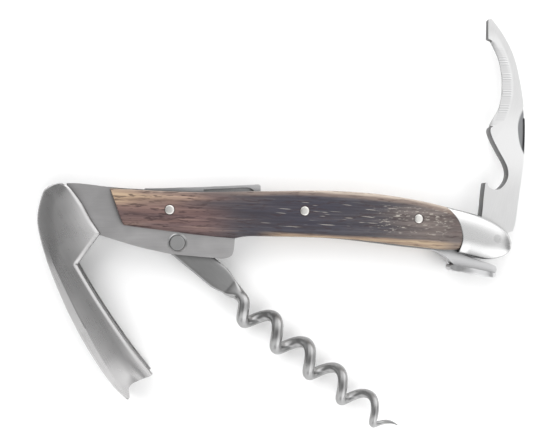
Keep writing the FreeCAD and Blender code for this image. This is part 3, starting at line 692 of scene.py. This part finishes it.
def turned(x, y, profile, seg=56):
    """Solid of revolution about Z from (radius, z) pairs, first and last on the axis."""
    s = Shell()
    a = np.linspace(0, 2 * math.pi, seg, endpoint=False)
    rows = []
    for r, z in profile[1:-1]:
        b = s.add(np.stack([x + r * np.cos(a), y + r * np.sin(a), np.full(seg, z)], axis=-1))
        rows.append([b + i for i in range(seg)])
    for p, q in zip(rows, rows[1:]):
        s.strip(p + [p[0]], q + [q[0]])
    c0 = s.add([(x, y, profile[0][1])])
    c1 = s.add([(x, y, profile[-1][1])])
    for i in range(seg):
        s.face([c0, rows[0][i], rows[0][(i + 1) % seg]])
        s.face([c1, rows[-1][(i + 1) % seg], rows[-1][i]])
    return s


riv = Shell()
for i, (rx, ry) in enumerate(RIVETS):
    mid = 1.12 if i < 2 else 0.95
    head = [(0, 12.0), (0.35, 11.998), (0.70, 11.990), (0.90, 11.972), (1.02, 11.935), (1.09, 11.875), (1.12, 11.80)]
    low = [(r, 12.0 - z) for r, z in head[::-1]]
    riv.merge(turned(rx, ry, head + [(1.12, 7.56), (mid, 7.54), (mid, 4.46), (1.12, 4.44)] + low))
piece("scale_rivet_heads", riv, M["rivet"], "handle", "handle_rivets", sharp=50)

# the pivot pin is filed flush with the curved bolsters
tops = [(0, 12.0), (0.3, 12.0), (0.6, 12.0), (0.85, 12.0), (1.02, 12.0), (1.04, 11.9)]
piv = turned(53.0, 0.0, tops + [(1.04, 11.0), (1.5, 11.0), (1.5, 1.0), (1.04, 1.0)] + [(r, 12.0 - z) for r, z in tops[::-1]])
skin = np.concatenate(bo.v)
skin = skin[skin[:, 2] > 9.3]
for block in piv.v:
    for q in block:
        if abs(q[2] - MID) > 5.6:
            dd = np.linalg.norm(skin[:, :2] - q[:2], axis=1)
            near = np.argsort(dd)[:5]
            wgt = 1 / (dd[near] + 0.02)
            h = float((skin[near, 2] * wgt).sum() / wgt.sum()) + 0.014 - (12.0 - (MID + abs(q[2] - MID)))
            q[2] = h if q[2] > MID else 12.0 - h
piece("blade_pivot_pin", piv, M["spot"], "handle", "blade_hinge_pin", sharp=50)

# --- lever ---------------------------------------------------------------------
DOME_LEFT = [(-55.69, 7.36), (-57.10, 7.13), (-58.64, 6.50), (-59.72, 5.50), (-60.15, 4.40)]
WEB = [(-60.15, 4.40), (-60.83, 1.12), (-60.97, -0.75), (-60.78, -2.79), (-60.10, -5.59), (-59.13, -8.60),
       (-57.85, -12.02), (-56.14, -15.90), (-52.86, -22.60), (-49.72, -28.16), (-46.75, -32.80),
       (-43.79, -36.90), (-40.60, -40.72), (-38.05, -43.00)]
DOME_RIGHT = [(-55.69, 7.36), (-54.60, 6.95), (-52.92, 5.42), (-50.93, 3.05), (-49.47, 0.75), (-48.30, -1.15),
              (-46.87, -3.10), (-46.20, -4.00)]
NOTCH_SIDE = [(-46.20, -4.00), (-51.00, -11.50)]
LONG_EDGE = [(-51.00, -11.50), (-48.18, -15.90), (-45.30, -20.15), (-41.87, -24.86), (-38.84, -28.84),
             (-36.06, -32.30), (-32.05, -36.95)]
END_ROW = [(-38.05, -43.00), (-37.50, -43.10), (-37.22, -42.60), (-37.45, -41.30), (-37.35, -40.10),
           (-36.70, -39.35), (-35.36, -38.62), (-33.55, -37.75), (-32.55, -37.40), (-32.05, -36.95)]


def nearest_fraction(poly, p):
    t = np.concatenate([[0], np.cumsum(np.linalg.norm(np.diff(poly, axis=0), axis=1))])
    return t[np.argmin(np.linalg.norm(poly - np.array(p), axis=1))] / t[-1]


def bevel_width(y):
    return np.interp(-np.asarray(y, float), [2, 8, 12, 16, 21, 28, 35, 39.5, 42, 43.2], [1.2, 1.25, 1.35, 1.55, 1.8, 1.95, 1.65, 1.45, 0.9, 0.4])


def lever_grid():
    left = join(spline(DOME_LEFT, 60), spline(WEB, 400))
    dome_r, side_r, long_r = spline(DOME_RIGHT, 120), spline(NOTCH_SIDE, 40), spline(LONG_EDGE, 200)
    # matching stations on both sides
    fl = [0.0] + [nearest_fraction(left, p) for p in ((-60.15, 4.40), (-60.25, -5.0), (-57.0, -14.2))] + [1.0]
    counts = (34, 40, 34, 130)
    ul = np.concatenate([np.linspace(fl[i], fl[i + 1], c, endpoint=False) for i, c in enumerate(counts)] + [[1.0]])
    lp = at(left, ul)
    half = nearest_fraction(dome_r, (-50.3, 2.1))
    rp = np.concatenate([at(dome_r, np.linspace(0, half, counts[0], endpoint=False)),
                         at(dome_r, np.linspace(half, 1, counts[1], endpoint=False)),
                         at(side_r, np.linspace(0, 1, counts[2], endpoint=False)),
                         at(long_r, np.linspace(0, 1, counts[3] + 1))])
    # columns: bevel, face, rim, each with its own border
    nb, nm, ne = 9, 36, 13
    fine = np.linspace(0, 1, 401)
    rows, vs = [], []
    for i in range(len(lp)):
        line = lp[i] + (rp[i] - lp[i]) * fine[:, None]
        width = np.linalg.norm(rp[i] - lp[i])
        b = float(bevel_width(lp[i, 1]))
        if width < 3.0:
            vb, ve = 0.2, 0.76
        else:
            vb = float(np.interp(b, distance(line[:200], left), fine[:200]))
            ve = 1 - min(0.25, 1.9 / width)
        v = np.concatenate([np.linspace(0, vb, nb, endpoint=False), np.linspace(vb, ve, nm, endpoint=False), np.linspace(ve, 1, ne)])
        vs.append(v)
        rows.append(lp[i] + (rp[i] - lp[i]) * v[:, None])
    g = np.array(rows)
    v = vs[-1]
    # the last stretch takes the hollow of the end row
    a, b = np.array(END_ROW[0]), np.array(END_ROW[-1])
    n = (b - a) / np.linalg.norm(b - a)
    e = spline(END_ROW, 300)
    across = (e - a) @ n
    order = np.maximum.accumulate(across)
    want = v * np.linalg.norm(b - a)
    row = np.stack([np.interp(want, order, e[:, 0]), np.interp(want, order, e[:, 1])], axis=-1)
    dev = row - (a + (b - a) * v[:, None])
    s0 = sum(counts) - 34
    k = np.clip((np.arange(len(lp)) - s0) / 34.0, 0, 1) ** 1.3
    g = g + k[:, None, None] * dev[None]
    return g, left, join(dome_r, side_r, long_r)


LG, L_LINE, R_LINE = lever_grid()


def lever_heights(g):
    """Outer and inner height of the front wall at every grid point."""
    d = distance(g, L_LINE)
    dr = distance(g, R_LINE)
    y = g[:, 0, 1][:, None]
    yy = g[..., 1]
    low = step(-5.0, -15.0, y)                 # 0 in the dome, 1 where the bevel is crisp
    w = np.linalg.norm(g[:, -1] - g[:, 0], axis=-1)[:, None]
    # dome: crest near the web, long gentle fall towards the handle
    c = np.minimum(3.9, 0.32 * w) + 1e-3
    left = 0.19 / c * np.clip(c - d, 0, None) ** 2 * np.clip(w / 6, 0, 1) + quarter(d, 0.5, 0.22)
    e = np.maximum(w - c, 1e-3)
    t = np.clip(1 - dr / e, 0, 1)
    right = 0.05 * e * t ** 2 + 0.047 * e * t ** 3
    dome = left + right
    # straight part: flat bevel, crisp ridge, hollow face that falls again to the long edge
    b = bevel_width(y)
    bev = 0.56 * b * np.clip(1 - d / b, 0, 1) + quarter(d, 0.22, 0.12)
    tau = np.clip((d - b) / np.maximum(d + dr - b, 1e-3), 0, 1)
    a = np.interp(-y, [12, 20, 28, 35, 40, 43], [0.02, 0.09, 0.17, 0.30, 0.42, 0.50])
    f = np.interp(-y, [12, 20, 28, 35, 40, 43], [0.10, 0.05, 0.06, 0.15, 0.30, 0.34])
    hollow = a * (1 - (np.clip(0.62 - tau, 0, 1) / 0.62) ** 2) + f * (np.clip(tau - 0.62, 0, 1) / 0.38) ** 2
    # the sheet turns over all along its free edge
    full = np.minimum(np.interp(yy, [-14, 3, 6, 8], [1.12, 1.05, 0.7, 0.4]), 0.24 * w)
    straight = bev + hollow
    drop = dome * (1 - low) + straight * low
    # and dips over the last few millimetres before the end
    s_end = distance(g, g[-1])
    drop = drop + 0.5 * 0.026 * np.clip(8.5 - s_end, 0, None) ** 2 * (1 - 0.85 * step(0.40, 0.80, tau))
    # the sheet keeps its thickness above the flat inner face
    drop = np.where(drop < 0.90, drop, 0.90 + 0.42 * (1 - np.exp(-(np.maximum(drop, 0.90) - 0.90) / 0.42)))
    drop = drop + quarter(dr, full, 1.0) * np.minimum(0.85 * full, 1.43 - drop)
    z = 12.0 - drop
    inner = np.full_like(z, 10.5)
    return z, inner, d


def lever_shell():
    z, zi, d = lever_heights(LG)
    s = Shell()
    outer = s.grid(np.dstack([LG, z[..., None]]))
    inner = s.grid(np.dstack([LG, zi[..., None]]), flip=True)
    s.strip(outer[:, -1], inner[:, -1])
    s.strip(outer[-1, :], inner[-1, :])
    s.strip(outer[:, 0], inner[:, 0])
    rear = s.mirrored()
    # web between the walls, from beside the hinge down to the tip
    rows = [i for i in range(len(LG)) if LG[i, 0, 1] < 0.05]
    w = Shell()
    sect = []
    for i in rows:
        p = LG[i, 0]
        a, b = LG[max(i - 1, 0), 0], LG[min(i + 1, len(LG) - 1), 0]
        t = (b - a) / np.linalg.norm(b - a)
        n = np.array([-t[1], t[0]])
        if n @ (LG[i, 5] - p) < 0:
            n = -n
        o = p + n * 0.015
        q = p + n * 1.5
        if i >= rows[-1] - 6:
            q = p + n * (0.5 + 1.0 * (rows[-1] - i) / 6.0)
        top_o = 10.53
        top_q = 10.53
        ring = []
        m = 7
        for k in range(m):
            f = k / (m - 1)
            ring.append((o[0], o[1], top_o * (1 - f) + (12 - top_o) * f))
        for k in range(m):
            f = k / (m - 1)
            ring.append((q[0], q[1], (12 - top_q) * (1 - f) + top_q * f))
        sect.append(ring)
    g = np.array(sect)
    ids = w.grid(g, wrap=True)
    w.face(ids[0])
    w.face(ids[-1], flip=True)
    return s.merge(rear).merge(w)


piece("lever_shell", lever_shell(), M["lever"], "lever_arm", "lever", sharp=34)

# --- worm -------------------------------------------------------------------------
WORM_PIN = (-27.86, -5.30)
WA = math.radians(-36.02)
WD = np.array((math.cos(WA), math.sin(WA), 0.0))
WN = np.array((-math.sin(WA), math.cos(WA), 0.0))
WZ = np.array((0.0, 0.0, 1.0))


def wl(d, n, z):
    return np.array((WORM_PIN[0], WORM_PIN[1], 0.0)) + WD * d + WN * n + WZ * z


def table(t, pairs):
    if t <= pairs[0][0]:
        return pairs[0][1]
    for (a, va), (b, vb) in zip(pairs, pairs[1:]):
        if t <= b:
            k = (t - a) / (b - a)
            k = k * k * (3 - 2 * k)
            return va + (vb - va) * k
    return pairs[-1][1]


def helix_r(t):
    return table(t, [(-0.30, 0.35), (0.32, 2.85), (4.45, 2.85), (5.19, 1.25)])


def wire_r(t):
    return table(t, [(-0.30, 1.05), (0.10, 1.45), (2.2, 1.45), (3.8, 1.22), (4.55, 0.98), (4.95, 0.55), (5.19, 0.14)])


def helix(t):
    a = math.radians(285.6 + 360.0 * t)
    r = helix_r(t)
    return wl(17.77 + 10.70 * t, -1.94 + r * math.cos(a), MID + r * math.sin(a))


def lerp(x, xs, ys):
    return float(np.interp(x, xs, ys))


HALF_D = [-2.95, -2.6, -2.0, -1.0, 0.0, 2.0, 8.0, 13.6, 15.2, 17.2, 19.2, 20.6]
HALF_U = [0.35, 1.5, 2.24, 2.83, 3.0, 2.98, 2.98, 2.96, 2.62, 1.92, 1.25, 0.6]
HALF_L = [0.35, 1.5, 2.24, 2.83, 3.0, 2.98, 3.05, 3.15, 2.85, 2.35, 1.95, 1.75]


def worm_shell():
    """One skin from the flat tang, through the twist, to the point of the worm."""
    stations = []                       # centre, half width, half height, squareness
    t_join = 0.43
    ds = list(np.concatenate([np.linspace(-2.95, -1.0, 9), np.linspace(-0.5, 12.5, 18), np.linspace(12.9, 16.8, 14)]))
    for d in ds:
        up, lo = lerp(d, HALF_D, HALF_U), lerp(d, HALF_D, HALF_L)
        stations.append((wl(d, (up - lo) / 2, MID), (up + lo) / 2, 1.5, 9.0, 0.0))
    p0, w0 = stations[-1][0], stations[-1][1]
    p1 = helix(t_join)
    m0 = WD * 6.2 - WN * 0.4
    m1 = (helix(t_join + 0.002) - helix(t_join - 0.002)) / 0.004
    m1 = m1 / np.linalg.norm(m1) * 6.2
    for q in np.linspace(0, 1, 34)[1:-1]:
        c = (2 * q ** 3 - 3 * q ** 2 + 1) * p0 + (q ** 3 - 2 * q ** 2 + q) * m0 \
            + (-2 * q ** 3 + 3 * q ** 2) * p1 + (q ** 3 - q ** 2) * m1
        k = float(step(0.0, 0.62, q))
        e = float(step(0.08, 0.60, q))
        stations.append((c, w0 * (1 - k) + 1.45 * k, 1.5 * (1 - k) + 1.45 * k, 9.0 ** (1 - e) * 2.0 ** e, k))
    ts = np.concatenate([np.linspace(t_join, 4.9, int((4.9 - t_join) * 46)), np.linspace(4.91, 5.19, 24)])
    for t in ts:
        r = wire_r(t)
        stations.append((helix(t), r, r, 2.0, 1.0))
    m = 44
    ang = np.linspace(0, 2 * math.pi, m, endpoint=False)
    # square corners need points near them
    rings = []
    side = None
    for i, (c, hw, hh, sq, k) in enumerate(stations):
        a, b = stations[max(i - 1, 0)][0], stations[min(i + 1, len(stations) - 1)][0]
        tan = (b - a) / np.linalg.norm(b - a)
        if i < len(ds):
            s = WN - tan * (WN @ tan)
            side = s / np.linalg.norm(s)
        else:
            side = side - tan * (side @ tan)
            side = side / np.linalg.norm(side)
        up = np.cross(tan, side)
        if up[2] < 0 and i < len(ds):
            up = -up
        if i >= len(ds):
            up = np.cross(tan, side)
            if flip_up:
                up = -up
        else:
            flip_up = (np.cross(tan, side) @ up) < 0
        ca, sa = np.cos(ang), np.sin(ang)
        p = 2.0 / sq
        xx = np.sign(ca) * np.abs(ca) ** p * hw
        yy = np.sign(sa) * np.abs(sa) ** p * hh
        # two shallow flutes run along the wire
        t_here = k
        fl = 1 - 0.050 * t_here * (np.exp(-((np.angle(np.exp(1j * (ang - 0.9)))) / 0.26) ** 2)
                                   + np.exp(-((np.angle(np.exp(1j * (ang - 2.3)))) / 0.22) ** 2))
        ring = c + np.outer(xx * fl, side) + np.outer(yy * fl, up)
        rings.append(ring)
    s = Shell()
    ids = s.grid(np.array(rings), wrap=True)
    s.face(ids[0])
    s.face(ids[-1], flip=True)
    return s


piece("worm_drawn_wire", worm_shell(), M["worm"], "worm_arm", "worm", sharp=48)

# --- floor, light, camera --------------------------------------------------------

def floor_material():
    n = Nodes("pale_table")
    cl = n.noise(n.mapped((9, 9, 9)), 1.0, 2.0, 0.5)
    v = n.math("MULTIPLY_ADD", n.math("SUBTRACT", cl, 0.5), 0.015, 0.94)
    c = n.t.nodes.new("ShaderNodeCombineColor")
    for i in range(3):
        n.link(v, c.inputs[i])
    n.link(c.outputs[0], n.b.inputs["Base Color"])
    n.b.inputs["Roughness"].default_value = 0.85
    n.b.inputs["Specular IOR Level"].default_value = 0.1
    return n.m


fm = bpy.data.meshes.new("table_top")
fm.from_pydata([(-3, -3, 0), (3, -3, 0), (3, 3, 0), (-3, 3, 0)], [], [(0, 1, 2, 3)])
floor = bpy.data.objects.new("table_top", fm)
bpy.context.scene.collection.objects.link(floor)
fm.materials.append(floor_material())
floor.location = (0, 0, -0.00002)


def softbox(name, where, look, size, power, colour=(1, 1, 1), glossy=True):
    li = bpy.data.lights.new(name, "AREA")
    li.shape = "RECTANGLE"
    li.size, li.size_y = size
    li.energy = power
    li.color = colour
    ob = bpy.data.objects.new(name, li)
    bpy.context.scene.collection.objects.link(ob)
    ob.location = where
    ob.rotation_euler = (Vector(look) - Vector(where)).to_track_quat("-Z", "Y").to_euler()
    ob.visible_glossy = glossy
    return ob


softbox("key_window", (-0.62, 0.55, 0.80), (0.0, 0.0, 0.0), (1.20, 1.20), 13.5, glossy=False)
softbox("fill_window", (0.30, -0.55, 0.90), (0.0, 0.0, 0.0), (1.20, 1.20), 8.0, glossy=False)

world = bpy.data.worlds.new("studio")
bpy.context.scene.world = world
world.use_nodes = True
wt = world.node_tree
wt.nodes.clear()
wo = wt.nodes.new("ShaderNodeOutputWorld")
bg = wt.nodes.new("ShaderNodeBackground")
tc = wt.nodes.new("ShaderNodeTexCoord")
sp = wt.nodes.new("ShaderNodeSeparateXYZ")
wt.links.new(tc.outputs["Generated"], sp.inputs[0])


def wmath(op, a, b=None, c=None):
    n = wt.nodes.new("ShaderNodeMath")
    n.operation = op
    for i, x in enumerate((a, b, c)):
        if x is None:
            continue
        if isinstance(x, (int, float)):
            n.inputs[i].default_value = x
        else:
            wt.links.new(x, n.inputs[i])
    return n.outputs["Value"]


def wspan(value, a, b, c, d):
    n = wt.nodes.new("ShaderNodeMapRange")
    n.interpolation_type = "SMOOTHSTEP"
    for k, x in zip(("From Min", "From Max", "To Min", "To Max"), (a, b, c, d)):
        n.inputs[k].default_value = x
    wt.links.new(value, n.inputs["Value"])
    return n.outputs["Result"]


# dim ceiling above and to the left, bright walls to the right and on both long sides
wx, wy, wz = sp.outputs
lvl = wmath("MULTIPLY", wspan(wx, 0.01, 0.38, 0.0, 0.85), wspan(wx, 0.92, 0.66, 0.25, 1.0))
side = wmath("MULTIPLY", wspan(wmath("ABSOLUTE", wy), 0.20, 0.78, 0.0, 1.0), wspan(wy, -0.99, -0.86, 0.15, 1.0))
lvl = wmath("ADD", lvl, side)
lvl = wmath("ADD", lvl, wspan(wx, -0.45, -0.80, 0.0, 0.17))
lvl = wmath("ADD", lvl, 0.22)
lp_node = wt.nodes.new("ShaderNodeLightPath")
lvl = wmath("MULTIPLY", lvl, wmath("MULTIPLY_ADD", lp_node.outputs["Is Diffuse Ray"], -0.45, 1.0))
wt.links.new(lvl, bg.inputs["Strength"])
bg.inputs["Color"].default_value = (1.0, 1.0, 1.0, 1.0)
wt.links.new(bg.outputs[0], wo.inputs[0])

cam_data = bpy.data.cameras.new("photo_camera")
cam = bpy.data.objects.new("photo_camera", cam_data)
bpy.context.scene.collection.objects.link(cam)
ALPHA = math.atan2(173.0, 975.0)
BETA = math.radians(3.1634)
e_u = Vector((math.cos(BETA), math.sin(BETA), 0.0))
e_v = Vector((-math.sin(BETA), math.cos(BETA), 0.0))
e_z = Vector((0.0, 0.0, 1.0))
fwd = math.sin(ALPHA) * e_u - math.cos(ALPHA) * e_z
rgt = math.cos(ALPHA) * e_u + math.sin(ALPHA) * e_z
rot = Matrix((rgt, e_v, -fwd)).transposed()
cam.matrix_world = Matrix.Translation(Vector((-0.04481, -0.00131, 0.246))) @ rot.to_4x4()
cam_data.sensor_fit = "HORIZONTAL"
cam_data.sensor_width = 36.0
cam_data.lens = 975.0 / 560.0 * 36.0
cam_data.clip_start = 0.01
cam_data.clip_end = 20.0
bpy.context.scene.camera = cam

bpy.context.scene.view_settings.view_transform = "Standard"
bpy.context.scene.view_settings.look = "None"
bpy.context.scene.view_settings.exposure = 0.0
bpy.context.scene.view_settings.gamma = 1.0
